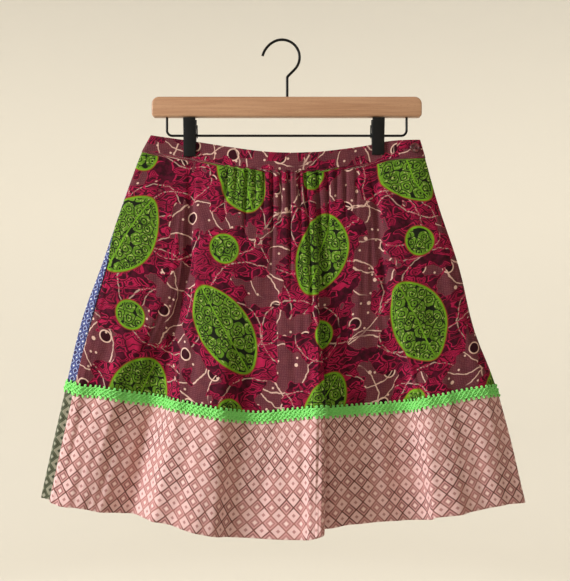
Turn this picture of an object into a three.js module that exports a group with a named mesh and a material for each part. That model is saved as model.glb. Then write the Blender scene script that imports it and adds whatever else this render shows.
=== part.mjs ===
// A gathered skirt hanging from the two clips of a wooden hanger.
// Millimetres, +Z up, front towards -Y. The origin is the inside top of the hook, where it bears on a rod.
import * as THREE from 'three';

// Walls, and the gap that neighbouring pieces keep
const CLOTH = 1.2;
const BAND = 1.8;
const BRAID = 1.4;
const GAP = 0.3;
const BRAID_SEAT = 0.6;

// The skirt's sections: cloth distance down from the waist edge, and its two sides as it hangs
const SECTIONS = [
  { name: 'waist edge', down: 0, left: -171, right: 180 },
  { name: 'band foot', down: 25, left: -183, right: 187 },
  { name: 'hip', down: 85, left: -204, right: 203 },
  { name: 'mid', down: 180, left: -235, right: 232 },
  { name: 'low', down: 260, left: -262, right: 252 },
  { name: 'trim line', down: 343, left: -282, right: 280 },
  { name: 'hem', down: 494, left: -314, right: 317 },
];
const DOWN = SECTIONS.map((section) => section.down);
const [, BAND_FOOT, , , , TRIM_LINE, HEM] = DOWN;

// How far each piece's rows of points lie below the waist edge
const BAND_ROWS = [0, 12, BAND_FOOT];
const PANEL_ROWS = [BAND_FOOT, 42, 72, 115, 165, 220, 280, TRIM_LINE];
const BORDER_ROWS = [TRIM_LINE, 380, 418, 456, HEM];

// The waist edge sags between and beyond the clips
const WAIST_EDGE = [
  { x: -171, z: -124 },
  { x: -113, z: -132 },
  { x: -43, z: -143 },
  { x: 0, z: -147.5 },
  { x: 47, z: -146 },
  { x: 117, z: -136 },
  { x: 140, z: -131 },
  { x: 180, z: -129.5 },
];

// Clips and the half depth of the closed band: pinched in the jaws, open between them
const JAW_WIDTH = 16;
const CLIPS = [
  { name: 'clip_left', x: -120.5, tip: -151.5, inward: 1 },
  { name: 'clip_right', x: 125.5, tip: -149.5, inward: -1 },
];
const PINCH = 1.3;
const BULGE = 8.5;
const END_OUT = 3;

// Folds from the left side to the right. x: at the band foot, hip, mid, low, trim line and hem.
// out: how far the fold stands forward at the hip, mid, low, trim line and hem.
// lift: how much higher than its cut length the cloth hangs at the trim line and hem.
// steps: columns of points to the next fold.
const FRONT_FOLDS = [
  { name: 'left side', x: [-183, -204, -235, -262, -282, -314], out: [0, 0, 0, 0, 0], lift: [-3, -2], steps: 3 },
  { name: 'left seam', x: [-181, -201, -228, -249, -267, -301], out: [3, 6, 8, 8, 8], lift: [-1, 0], steps: 2 },
  { name: 'left shoulder', x: [-172, -190, -215, -235, -254, -286], out: [5, 8, 11, 12, 14], lift: [-1, -1], steps: 3 },
  { name: 'left crest', x: [-135, -140, -155, -182, -226, -260], out: [6, 11, 16, 19, 22], lift: [-6, -7], steps: 3 },
  { name: 'left flank', x: [-123, -127, -135, -159, -195, -236], out: [5, 8, 11, 14, 15], lift: [-4, -6], steps: 6 },
  { name: 'first valley', x: [-116, -118, -123, -136, -156, -195], out: [5, 6, 7, 9, 9], lift: [0, -1], steps: 6 },
  { name: 'ridge left', x: [-107, -106, -108, -118, -137, -157], out: [9, 17, 25, 34, 44], lift: [-2, 1], steps: 4 },
  { name: 'ridge right', x: [-71, -74, -80, -86, -90, -106], out: [12, 20, 28, 38, 50], lift: [-1, -2], steps: 13 },
  { name: 'second valley', x: [-26, -26, -28, -31, -36, -65], out: [12, 17, 21, 25, 33], lift: [-1, -4], steps: 11 },
  { name: 'middle', x: [9, 10, 12, 14, 19, 25], out: [13, 20, 27, 33, 44], lift: [6, -1], steps: 7 },
  { name: 'ledge', x: [32, 36, 40, 42, 43, 41], out: [13, 22, 32, 42, 56], lift: [8, 2], steps: 3 },
  { name: 'ledge edge', x: [40, 45, 49, 51, 51, 50], out: [12, 20, 30, 39, 54], lift: [8, 5], steps: 5 },
  { name: 'under the ledge', x: [47, 50, 52, 52, 50, 47], out: [9, 12, 15, 19, 23], lift: [6, 6], steps: 11 },
  { name: 'shaded slope', x: [104, 103, 98, 96, 100, 112], out: [8, 11, 12, 12, 15], lift: [0, 5], steps: 5 },
  { name: 'third valley', x: [117, 119, 124, 141, 160, 178], out: [6, 7, 7, 7, 9], lift: [-2, 0], steps: 4 },
  { name: 'right crest', x: [134, 135, 142, 158, 176, 191], out: [9, 16, 22, 28, 36], lift: [-1, 4], steps: 3 },
  { name: 'right slope', x: [155, 164, 179, 194, 208, 242], out: [8, 13, 17, 20, 24], lift: [2, 5], steps: 4 },
  { name: 'right shoulder', x: [177, 192, 220, 239, 257, 289], out: [6, 8, 10, 11, 12], lift: [4, 6], steps: 4 },
];

// The back's folds, from the right side to the left
const BACK_FOLDS = [
  { name: 'right side', x: [187, 203, 232, 252, 280, 317], out: [0, 0, 0, 0, 0], lift: [0, 0], steps: 4 },
  { name: 'right turn', x: [176, 190, 216, 232, 256, 290], out: [6, 8, 9, 10, 11], lift: [0, 0], steps: 3 },
  { name: 'back crest one', x: [137, 142, 152, 164, 174, 200], out: [9, 14, 18, 20, 24], lift: [0, 2], steps: 3 },
  { name: 'back valley one', x: [117, 116, 118, 124, 130, 146], out: [5, 8, 9, 10, 11], lift: [0, 0], steps: 4 },
  { name: 'back crest two', x: [68, 70, 74, 80, 84, 96], out: [10, 15, 19, 22, 28], lift: [0, 2], steps: 8 },
  { name: 'back valley two', x: [36, 36, 36, 38, 38, 40], out: [7, 9, 10, 11, 12], lift: [0, 0], steps: 8 },
  { name: 'back crest three', x: [2, 0, -2, -6, -10, -18], out: [10, 14, 18, 20, 25], lift: [0, 2], steps: 8 },
  { name: 'back valley three', x: [-34, -36, -40, -46, -52, -62], out: [7, 9, 10, 11, 12], lift: [0, 0], steps: 8 },
  { name: 'back crest four', x: [-72, -76, -84, -94, -102, -118], out: [10, 15, 19, 22, 28], lift: [0, 2], steps: 5 },
  { name: 'back valley four', x: [-112, -117, -128, -142, -152, -172], out: [5, 8, 9, 10, 11], lift: [0, 0], steps: 3 },
  { name: 'back crest five', x: [-137, -146, -164, -182, -196, -222], out: [7, 11, 15, 17, 21], lift: [0, 1], steps: 3 },
  { name: 'left turn', x: [-172, -190, -217, -240, -258, -288], out: [4, 6, 8, 9, 10], lift: [-3, -2], steps: 4 },
];

// Gathers under the band: x at the band foot, depth there, and how far down they reach
const FRONT_GATHERS = [
  { x: -71, depth: 2.0, reach: 90 },
  { x: -59, depth: 1.6, reach: 60 },
  { x: -46, depth: 2.6, reach: 120 },
  { x: -35, depth: 1.8, reach: 70 },
  { x: -24, depth: 2.2, reach: 80 },
  { x: -13, depth: 2.8, reach: 150 },
  { x: -2, depth: 2.2, reach: 90 },
  { x: 9, depth: 3.4, reach: 190 },
  { x: 22, depth: 2.8, reach: 130 },
  { x: 33, depth: 3.0, reach: 110 },
  { x: 46, depth: 3.2, reach: 170 },
  { x: 59, depth: 2.6, reach: 120 },
  { x: 71, depth: 1.8, reach: 60 },
  { x: 83, depth: 2.2, reach: 100 },
  { x: 98, depth: 1.8, reach: 80 },
];
const BACK_GATHERS = [
  { x: 82, depth: 1.8, reach: 70 },
  { x: 70, depth: 2.4, reach: 120 },
  { x: 57, depth: 2.0, reach: 80 },
  { x: 45, depth: 2.6, reach: 140 },
  { x: 32, depth: 2.2, reach: 90 },
  { x: 21, depth: 2.8, reach: 120 },
  { x: 8, depth: 2.4, reach: 160 },
  { x: -4, depth: 2.8, reach: 90 },
  { x: -16, depth: 2.4, reach: 130 },
  { x: -28, depth: 3.0, reach: 150 },
  { x: -41, depth: 2.2, reach: 80 },
  { x: -53, depth: 2.6, reach: 130 },
  { x: -66, depth: 2.0, reach: 90 },
  { x: -79, depth: 2.2, reach: 110 },
  { x: -92, depth: 1.6, reach: 60 },
];
const GATHER_HALF_WIDTH = 3.6;

// How far above and below a row its lean is taken
const LEAN_REACH = 3;

// Braid over the joint of panel and border
const BRAID_PEAK = 8;
const BRAID_DIP = 6;
const HALF_TOOTH = 3.5;

// Hanger
const BAR = { x: 6.2, length: 352, top: -74, height: 26, depth: 14, topCorner: 9.5, footCorner: 4, edge: 2 };
const HOOK = { wire: 1.75, radius: 23, tipRadius: 30, stemX: 6.8, bend: 4 };
const RAIL = { wire: 1.6, left: -150.5, right: 163, z: -124, corner: 7 };
const SPRING = { outer: 3.6, stickOut: 2.6 };
const JAW_SEAT = 0.4;
const BUTTON = { x: 173, z: -140.5, out: 4.8, radius: 6.4, thickness: 2.8 };

const MATERIALS = {
  print: { color: 0x7d3048, roughness: 0.85, metalness: 0 },
  border: { color: 0xd1a39b, roughness: 0.85, metalness: 0 },
  backPrint: { color: 0x60637b, roughness: 0.85, metalness: 0 },
  backBorder: { color: 0x8c8670, roughness: 0.85, metalness: 0 },
  braid: { color: 0x5cd65a, roughness: 0.7, metalness: 0 },
  button: { color: 0x541f24, roughness: 0.35, metalness: 0 },
  wood: { color: 0xbc8e6c, roughness: 0.5, metalness: 0 },
  wire: { color: 0x1a1a1c, roughness: 0.4, metalness: 0.6 },
  plastic: { color: 0x1e1e1d, roughness: 0.45, metalness: 0 },
};

const group = new THREE.Group();

function addPiece(name, geometry, material) {
  const mesh = new THREE.Mesh(geometry, new THREE.MeshStandardMaterial(MATERIALS[material]));
  mesh.name = name;
  group.add(mesh);
  return mesh;
}

// A smooth rise from 0 to 1
function ease(t) {
  const clamped = THREE.MathUtils.clamp(t, 0, 1);
  return clamped * clamped * (3 - 2 * clamped);
}

// A cubic through values at rising places, which never swings past them
function through(places, values, place) {
  const last = places.length - 1;
  const rise = (k) => (values[k + 1] - values[k]) / (places[k + 1] - places[k]);
  const slope = (k) => {
    if (k === 0 || k === last) {
      return rise(Math.min(k, last - 1));
    }
    const before = rise(k - 1);
    const after = rise(k);
    return before * after <= 0 ? 0 : (2 * before * after) / (before + after);
  };
  let i = 0;
  while (i < last - 1 && place > places[i + 1]) {
    i += 1;
  }
  const span = places[i + 1] - places[i];
  const t = THREE.MathUtils.clamp((place - places[i]) / span, 0, 1);
  const bend = t * t * (3 - 2 * t);
  const start = t * (1 - t) * (1 - t) * span * slope(i);
  const end = t * t * (t - 1) * span * slope(i + 1);
  return values[i] + (values[i + 1] - values[i]) * bend + start + end;
}

// Half the depth of the closed waistband at x
function bandOut(x) {
  const [left, right] = CLIPS;
  const grip = JAW_WIDTH / 2 + 1;
  if (x > left.x + grip && x < right.x - grip) {
    const across = (x - left.x - grip) / (right.x - left.x - 2 * grip);
    return PINCH + (BULGE - PINCH) * Math.sin(Math.PI * across) ** 2;
  }
  const beyond = Math.max(left.x - grip - x, x - right.x - grip, 0);
  return PINCH + (END_OUT - PINCH) * ease(beyond / 22);
}

// A fold's points at the seven sections. Its drop is what its slant leaves of the cloth's length.
function foldPoints(fold, side) {
  const [waist, foot] = SECTIONS;
  const isSide = fold.out[4] === 0;
  const along = (fold.x[0] - foot.left) / (foot.right - foot.left);
  const waistX = waist.left + along * (waist.right - waist.left);
  const waistZ = through(WAIST_EDGE.map((p) => p.x), WAIST_EDGE.map((p) => p.z), waistX);
  const out = [isSide ? 0 : bandOut(waistX), isSide ? 0 : bandOut(fold.x[0]), ...fold.out];
  const lift = [0, 0, 0, 0, 0, ...fold.lift];
  const points = [new THREE.Vector3(waistX, side * out[0], waistZ)];
  let hang = waistZ;
  for (let i = 1; i < SECTIONS.length; i += 1) {
    const run = DOWN[i] - DOWN[i - 1];
    const across = fold.x[i - 1] - points[i - 1].x;
    const forward = out[i] - out[i - 1];
    hang -= Math.sqrt(run * run - across * across - forward * forward);
    points.push(new THREE.Vector3(fold.x[i - 1], side * out[i], hang + lift[i]));
  }
  return points;
}

const FOLDS = [...FRONT_FOLDS, ...BACK_FOLDS];
const FOLD_POINTS = FOLDS.map((fold, i) => foldPoints(fold, i < FRONT_FOLDS.length ? -1 : 1));

// Columns of the closed ring: places between the folds, counted in folds
const COLUMNS = FOLDS.flatMap((fold, i) => Array.from({ length: fold.steps }, (_, k) => i + k / fold.steps));
const columnOf = (foldIndex) => COLUMNS.indexOf(foldIndex);
const SEAM_LEFT = columnOf(1);
const SEAM_RIGHT = columnOf(FRONT_FOLDS.length);

// The ring of cloth at a distance down, as one closed curve through the folds
function ringAt(down) {
  const knots = FOLD_POINTS.map((points) => {
    const place = ['x', 'y', 'z'].map((axis) => through(DOWN, points.map((p) => p[axis]), down));
    return new THREE.Vector3(...place);
  });
  const curve = new THREE.CatmullRomCurve3(knots, true, 'centripetal');
  return COLUMNS.map((column) => curve.getPoint(column / FOLDS.length));
}

const FOOT_RING = ringAt(BAND_FOOT);

// How deep the gathers press in at a column, at a distance down
function gatherDepth(column, down) {
  const isFront = column > SEAM_LEFT && column < SEAM_RIGHT;
  const gathers = isFront ? FRONT_GATHERS : BACK_GATHERS;
  return gathers.reduce((sum, gather) => {
    const away = (FOOT_RING[column].x - gather.x) / GATHER_HALF_WIDTH;
    const fade = 1 - ease((down - BAND_FOOT) / gather.reach);
    return sum + gather.depth * Math.exp(-away * away) * fade;
  }, 0);
}

// Points and outward normals of the whole ring at several distances down. The normals lean with the
// ungathered cloth, alike in both pieces at a joint, and gathers press in level.
function clothGrid(rows, isGathered) {
  const ends = rows.map((down, i) => {
    const shift = i === 0 ? GAP / 2 : i === rows.length - 1 ? -GAP / 2 : 0;
    return down + shift;
  });
  return ends.map((down) => {
    const ring = ringAt(down);
    const above = ringAt(Math.max(down - LEAN_REACH, 0));
    const below = ringAt(Math.min(down + LEAN_REACH, HEM));
    const normalAt = (points, c) => {
      const before = points[(c + COLUMNS.length - 1) % COLUMNS.length];
      const after = points[(c + 1) % COLUMNS.length];
      const downwards = below[c].clone().sub(above[c]);
      return downwards.cross(after.clone().sub(before)).normalize();
    };
    const pressed = ring.map((point, c) => {
      const level = normalAt(ring, c).setZ(0).normalize();
      return isGathered ? point.clone().addScaledVector(level, -gatherDepth(c, down)) : point;
    });
    return pressed.map((point, c) => ({ point, normal: normalAt(pressed, c) }));
  });
}

// The columns from one seam to the next, with half a gap taken off at both ends
function between(grid, from, to) {
  const count = ((to - from + COLUMNS.length) % COLUMNS.length) + 1;
  return grid.map((row) => {
    const stretch = Array.from({ length: count }, (_, k) => row[(from + k) % COLUMNS.length]);
    const drawnIn = (end, next) => {
      const inward = next.point.clone().sub(end.point).setLength(GAP / 2);
      return { point: end.point.clone().add(inward), normal: end.normal };
    };
    stretch[0] = drawnIn(stretch[0], stretch[1]);
    stretch[count - 1] = drawnIn(stretch[count - 1], stretch[count - 2]);
    return stretch;
  });
}

// A closed wall of even thickness about a grid of points, rows running down
function wall(grid, thickness) {
  const rows = grid.length;
  const columns = grid[0].length;
  const positions = [];
  for (const offset of [thickness / 2, -thickness / 2]) {
    for (const { point, normal } of grid.flat()) {
      positions.push(...point.clone().addScaledVector(normal, offset).toArray());
    }
  }
  const outer = (r, c) => r * columns + c;
  const inner = (r, c) => rows * columns + outer(r, c);
  const index = [];
  const quad = (a, b, c, d) => index.push(a, b, c, a, c, d);
  for (let r = 0; r < rows - 1; r += 1) {
    for (let c = 0; c < columns - 1; c += 1) {
      quad(outer(r, c), outer(r + 1, c), outer(r + 1, c + 1), outer(r, c + 1));
      quad(inner(r, c), inner(r, c + 1), inner(r + 1, c + 1), inner(r + 1, c));
    }
    quad(outer(r, 0), inner(r, 0), inner(r + 1, 0), outer(r + 1, 0));
    const end = columns - 1;
    quad(outer(r, end), outer(r + 1, end), inner(r + 1, end), inner(r, end));
  }
  for (let c = 0; c < columns - 1; c += 1) {
    const end = rows - 1;
    quad(outer(0, c), outer(0, c + 1), inner(0, c + 1), inner(0, c));
    quad(outer(end, c), inner(end, c), inner(end, c + 1), outer(end, c + 1));
  }
  const geometry = new THREE.BufferGeometry();
  geometry.setAttribute('position', new THREE.Float32BufferAttribute(positions, 3));
  geometry.setIndex(index);
  geometry.computeVertexNormals();
  return geometry;
}

// A point part of the way from one grid point to another, with its normal
function blend(a, b, t) {
  return { point: a.point.clone().lerp(b.point, t), normal: a.normal.clone().lerp(b.normal, t).normalize() };
}

// The braid lies on both sides of the joint, with teeth at even steps along both its edges
function braid(panel, border) {
  const joint = panel.at(-1).map(({ point }) => point);
  const reached = [0];
  for (let c = 1; c < joint.length; c += 1) {
    reached.push(reached[c - 1] + joint[c].distanceTo(joint[c - 1]));
  }
  const teeth = Math.round(reached.at(-1) / HALF_TOOTH);
  const panelRun = PANEL_ROWS.at(-1) - PANEL_ROWS.at(-2);
  const borderRun = BORDER_ROWS[1] - BORDER_ROWS[0];
  const above = [];
  const below = [];
  for (let k = 0; k <= teeth; k += 1) {
    const place = (k / teeth) * reached.at(-1);
    let c = 0;
    while (c < joint.length - 2 && place > reached[c + 1]) {
      c += 1;
    }
    const t = (place - reached[c]) / (reached[c + 1] - reached[c]);
    const reach = k % 2 === 0 ? BRAID_PEAK : BRAID_DIP;
    const onGrid = (near, far, share) => blend(blend(near[c], near[c + 1], t), blend(far[c], far[c + 1], t), share);
    above.push(onGrid(panel.at(-1), panel.at(-2), reach / panelRun));
    below.push(onGrid(border[0], border[1], reach / borderRun));
  }
  const lifted = [above, below].map((row) =>
    row.map(({ point, normal }) => ({
      point: point.clone().addScaledVector(normal, CLOTH / 2 + BRAID_SEAT + BRAID / 2),
      normal,
    })),
  );
  return wall(lifted, BRAID);
}

function addSkirt() {
  const bandGrid = clothGrid(BAND_ROWS, false);
  const panelGrid = clothGrid(PANEL_ROWS, true);
  const borderGrid = clothGrid(BORDER_ROWS, false);
  const sides = [
    { side: 'front', from: SEAM_LEFT, to: SEAM_RIGHT, panel: 'print', border: 'border' },
    { side: 'back', from: SEAM_RIGHT, to: SEAM_LEFT, panel: 'backPrint', border: 'backBorder' },
  ];
  for (const { side, from, to, panel, border } of sides) {
    const band = between(bandGrid, from, to);
    const upper = between(panelGrid, from, to);
    const lower = between(borderGrid, from, to);
    addPiece(`waistband_${side}`, wall(band, BAND), 'print');
    addPiece(`panel_${side}`, wall(upper, CLOTH), panel);
    addPiece(`border_${side}`, wall(lower, CLOTH), border);
    addPiece(`braid_${side}`, braid(upper, lower), 'braid');
  }
}

// A flat outline drawn in X and Z, made thick along Y about y = 0
function uprightPlate(shape, thickness, edge) {
  const geometry = new THREE.ExtrudeGeometry(shape, {
    depth: thickness - 2 * edge,
    bevelThickness: edge,
    bevelSize: edge,
    bevelOffset: -edge,
    bevelSegments: 2,
    curveSegments: 4,
  });
  geometry.translate(0, 0, edge - thickness / 2);
  geometry.rotateX(Math.PI / 2);
  return geometry;
}

function roundedRectangle(width, height, topCorner, footCorner) {
  const x = width / 2;
  const y = height / 2;
  const shape = new THREE.Shape();
  shape.moveTo(-x + footCorner, -y);
  shape.lineTo(x - footCorner, -y);
  shape.absarc(x - footCorner, -y + footCorner, footCorner, -Math.PI / 2, 0);
  shape.lineTo(x, y - topCorner);
  shape.absarc(x - topCorner, y - topCorner, topCorner, 0, Math.PI / 2);
  shape.lineTo(-x + topCorner, y);
  shape.absarc(-x + topCorner, y - topCorner, topCorner, Math.PI / 2, Math.PI);
  shape.lineTo(-x, -y + footCorner);
  shape.absarc(-x + footCorner, -y + footCorner, footCorner, Math.PI, Math.PI * 1.5);
  return shape;
}

// Round wire along points in the plane y = 0
function wire(points, radius, steps, sides) {
  const corners = Array.from({ length: sides }, (_, i) => {
    const turn = (i / sides) * Math.PI * 2;
    return new THREE.Vector2(Math.cos(turn), Math.sin(turn)).multiplyScalar(radius);
  });
  const path = new THREE.CatmullRomCurve3(points.map(([x, z]) => new THREE.Vector3(x, 0, z)));
  return new THREE.ExtrudeGeometry(new THREE.Shape(corners), { steps, bevelEnabled: false, extrudePath: path });
}

// Points on an arc, with angles in degrees counted from +X towards +Z
function arc(centreX, centreZ, radius, from, to, count) {
  return Array.from({ length: count + 1 }, (_, i) => {
    const turn = THREE.MathUtils.degToRad(THREE.MathUtils.lerp(from, to, i / count));
    return [centreX + radius * Math.cos(turn), centreZ + radius * Math.sin(turn)];
  });
}

// From the tip over the top, down the round right side, aslant to the stem and straight down
function addHook() {
  const centreZ = HOOK.wire - HOOK.radius;
  const flatter = HOOK.radius - HOOK.tipRadius;
  const joinTurn = THREE.MathUtils.degToRad(120);
  const tip = arc(
    flatter * Math.cos(joinTurn),
    centreZ + flatter * Math.sin(joinTurn),
    HOOK.tipRadius,
    165,
    120,
    6,
  );
  const loop = arc(0, centreZ, HOOK.radius, 112, -45, 17);
  const [slantX, slantZ] = loop.at(-1);
  const bendX = HOOK.stemX + HOOK.bend;
  const bendStartX = bendX - HOOK.bend * Math.SQRT1_2;
  const bendStartZ = slantZ - (slantX - bendStartX);
  const bend = arc(bendX, bendStartZ - HOOK.bend * Math.SQRT1_2, HOOK.bend, 135, 180, 3);
  const slant = [0.35, 0.7].map((t) => [
    THREE.MathUtils.lerp(slantX, bendStartX, t),
    THREE.MathUtils.lerp(slantZ, bendStartZ, t),
  ]);
  const [, stemTop] = bend.at(-1);
  const stem = [0.3, 0.65, 1].map((t) => [HOOK.stemX, THREE.MathUtils.lerp(stemTop, BAR.top + GAP, t)]);
  addPiece('hanger_hook', wire([...tip, ...loop, ...slant, ...bend, ...stem], HOOK.wire, 46, 8), 'wire');
}

function addBar() {
  const shape = roundedRectangle(BAR.length, BAR.height, BAR.topCorner, BAR.footCorner);
  const bar = addPiece('hanger_bar', uprightPlate(shape, BAR.depth, BAR.edge), 'wood');
  bar.position.set(BAR.x, 0, BAR.top - BAR.height / 2);
}

function addRail() {
  const top = BAR.top - BAR.height - GAP;
  const { left, right, z, corner } = RAIL;
  const points = [
    [left, top],
    [left, (top + z + corner) / 2],
    ...arc(left + corner, z + corner, corner, 180, 270, 3),
    ...[0.02, 0.25, 0.5, 0.75, 0.98].map((t) => [THREE.MathUtils.lerp(left + corner, right - corner, t), z]),
    ...arc(right - corner, z + corner, corner, -90, 0, 3),
    [right, (top + z + corner) / 2],
    [right, top],
  ];
  addPiece('hanger_rail', wire(points, RAIL.wire, 48, 8), 'wire');
}

// A jaw's side view, y away from the rail and z from its height, drawn thick along X
function jawGeometry(tip) {
  const grip = PINCH + BAND / 2 + JAW_SEAT;
  const clear = SPRING.outer + GAP;
  const handleTop = BAR.top - BAR.height - 1.5 - RAIL.z;
  const foot = tip - RAIL.z;
  const outline = [
    [clear, -3],
    [clear, 3],
    [clear + 4.2, handleTop],
    [clear + 6.2, handleTop],
    [clear + 2.6, 2],
    [clear + 2.2, -4],
    [grip + 2.4, -10],
    [grip + 2.8, foot + 4],
    [grip + 1.4, foot],
    [grip, foot],
    [grip, -6],
  ];
  const shape = new THREE.Shape(outline.map(([y, z]) => new THREE.Vector2(y, z)));
  const geometry = new THREE.ExtrudeGeometry(shape, { depth: JAW_WIDTH, bevelEnabled: false });
  geometry.translate(0, 0, -JAW_WIDTH / 2);
  const [x, y, z] = [0, 1, 2].map((axis) => new THREE.Vector3().setComponent(axis, 1));
  geometry.applyMatrix4(new THREE.Matrix4().makeBasis(y, z, x));
  return geometry;
}

function springGeometry() {
  const half = (JAW_WIDTH + SPRING.stickOut) / 2;
  const inner = RAIL.wire + GAP;
  const profile = [
    [inner, -half],
    [SPRING.outer, -half],
    [SPRING.outer, half],
    [inner, half],
    [inner, -half],
  ];
  const geometry = new THREE.LatheGeometry(profile.map(([r, y]) => new THREE.Vector2(r, y)), 14);
  geometry.rotateZ(-Math.PI / 2);
  return geometry;
}

function addClips() {
  for (const clip of CLIPS) {
    const back = addPiece(`${clip.name}_back_jaw`, jawGeometry(clip.tip), 'plastic');
    back.position.set(clip.x, 0, RAIL.z);
    const front = addPiece(`${clip.name}_front_jaw`, jawGeometry(clip.tip), 'plastic');
    front.position.set(clip.x, 0, RAIL.z);
    front.rotation.z = Math.PI;
    const spring = addPiece(`${clip.name}_spring`, springGeometry(), 'wire');
    spring.position.set(clip.x + (clip.inward * SPRING.stickOut) / 2, 0, RAIL.z);
  }
}

function addButton() {
  const { radius, thickness } = BUTTON;
  const profile = [
    [0, 0],
    [radius - 0.8, 0],
    [radius, 0.9],
    [radius, thickness - 0.6],
    [radius - 0.7, thickness],
    [radius - 1.8, thickness - 0.3],
    [radius - 2.4, thickness - 1],
    [0, thickness - 1],
  ];
  const geometry = new THREE.LatheGeometry(profile.map(([r, y]) => new THREE.Vector2(r, y)), 16);
  const button = addPiece('waist_button', geometry, 'button');
  button.rotation.x = Math.PI;
  button.position.set(BUTTON.x, -BUTTON.out, BUTTON.z);
}

addBar();
addHook();
addRail();
addClips();
addSkirt();
addButton();

export default group;
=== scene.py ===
"""A gathered batik skirt that hangs from the clips of a wooden hanger.

Metres, +Z up, front towards -Y, origin inside the top of the hook. The cloth is worked out in
millimetres, as a ring of folds that the waistband, panels, border and braid all share.
"""

import math

import bmesh
import bpy
import numpy as np
from mathutils import Matrix, Vector


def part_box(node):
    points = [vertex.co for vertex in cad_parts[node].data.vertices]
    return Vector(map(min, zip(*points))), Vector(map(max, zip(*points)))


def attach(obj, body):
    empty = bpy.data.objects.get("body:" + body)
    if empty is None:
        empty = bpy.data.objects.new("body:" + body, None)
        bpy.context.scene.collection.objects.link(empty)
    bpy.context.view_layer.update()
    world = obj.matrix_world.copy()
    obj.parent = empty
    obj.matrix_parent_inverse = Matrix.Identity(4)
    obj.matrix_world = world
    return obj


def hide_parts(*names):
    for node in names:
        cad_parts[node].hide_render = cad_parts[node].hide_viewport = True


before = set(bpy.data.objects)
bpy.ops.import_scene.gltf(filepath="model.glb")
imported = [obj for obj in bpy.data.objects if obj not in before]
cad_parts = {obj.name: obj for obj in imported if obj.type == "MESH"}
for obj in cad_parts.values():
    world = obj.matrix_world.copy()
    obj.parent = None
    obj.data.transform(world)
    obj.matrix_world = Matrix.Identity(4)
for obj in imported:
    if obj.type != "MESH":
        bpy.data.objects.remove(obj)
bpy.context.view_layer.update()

MM = 0.001
BODY = "root"

# The photograph's view: a pixel is 1.309 mm at the garment
CAMERA_PLACE = (0.0039, -1.150, -0.3265)
CAMERA_LENS = 54.44
CAMERA_SENSOR = 36

# The skirt's sections: distance down the cloth from the waist edge, and its two sides there, in mm
DOWN = np.array([0, 25, 85, 180, 260, 343, 494], float)
WAIST_LEFT, WAIST_RIGHT = -171, 180
FOOT_LEFT, FOOT_RIGHT = -183, 187
BAND_FOOT, TRIM_LINE, HEM = 25, 343, 494
HEM_TURN = 22
WAIST_EDGE_X = np.array([-171, -113, -43, 0, 47, 117, 140, 180], float)
WAIST_EDGE_Z = np.array([-124, -132, -143, -147.5, -146, -136, -131, -129.5])

# Thickness of the cloth, the doubled band and the trims
CLOTH = 0.9
BAND = 1.8

# How much of its distance to the other side the cloth may be pressed in
PRESS_ROOM = 0.72

# The fold of the turned hem and the step it leaves outside, and a side seam's groove
HEM_FOLD, HEM_STEP = 1.1, 0.15
SEAM_GROOVE, SEAM_HALF_WIDTH = 0.8, 0.06

# The braid: a tooth's pitch, its place beside the trim line, its reach and lean, the chains' place and
# sway, and the woven strip. Then the length of a stitch.
TOOTH, TOOTH_PLACE, TOOTH_REACH, TOOTH_LEAN = 6.6, 6.2, 1.9, 2.3
CHAIN_PLACE, CHAIN_SWAY = 2.6, 1.3
STRIP, STRIP_HALF_WIDTH, STRIP_LIFT = 0.8, 5.4, 0.95
STITCH = 3.2

# The wooden bar, the hook and the rail
BAR_X, BAR_LENGTH, BAR_TOP, BAR_HEIGHT, BAR_DEPTH = 6.2, 352, -74, 26, 14
BAR_TOP_CORNER, BAR_FOOT_CORNER, BAR_EDGE = 9.5, 4, 2
HOOK_WIRE, HOOK_RADIUS, HOOK_TIP_RADIUS, HOOK_STEM_X, HOOK_BEND = 1.75, 23, 30, 6.8, 4
RAIL_WIRE, RAIL_LEFT, RAIL_RIGHT, RAIL_Z, RAIL_CORNER = 1.6, -150.5, 163, -124, 7

# A clip's spring: its wire, coil radius, how far it stands out of the jaws, its arms and turns
SPRING_WIRE, SPRING_RADIUS, SPRING_OUT, SPRING_ARM, SPRING_TURNS = 0.72, 2.85, 2.6, 13, 10.5

# The button's face below its rim, how far out its holes lie, and their radius
BUTTON_DISH, BUTTON_HOLE_OUT, BUTTON_HOLE = 1.0, 1.35, 0.75

# Clips and the half depth of the closed band: pinched in the jaws, open between them
JAW_WIDTH = 16
CLIP_LEFT, CLIP_RIGHT = -120.5, 125.5
PINCH, BULGE, END_OUT = 1.3, 8.5, 3

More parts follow.
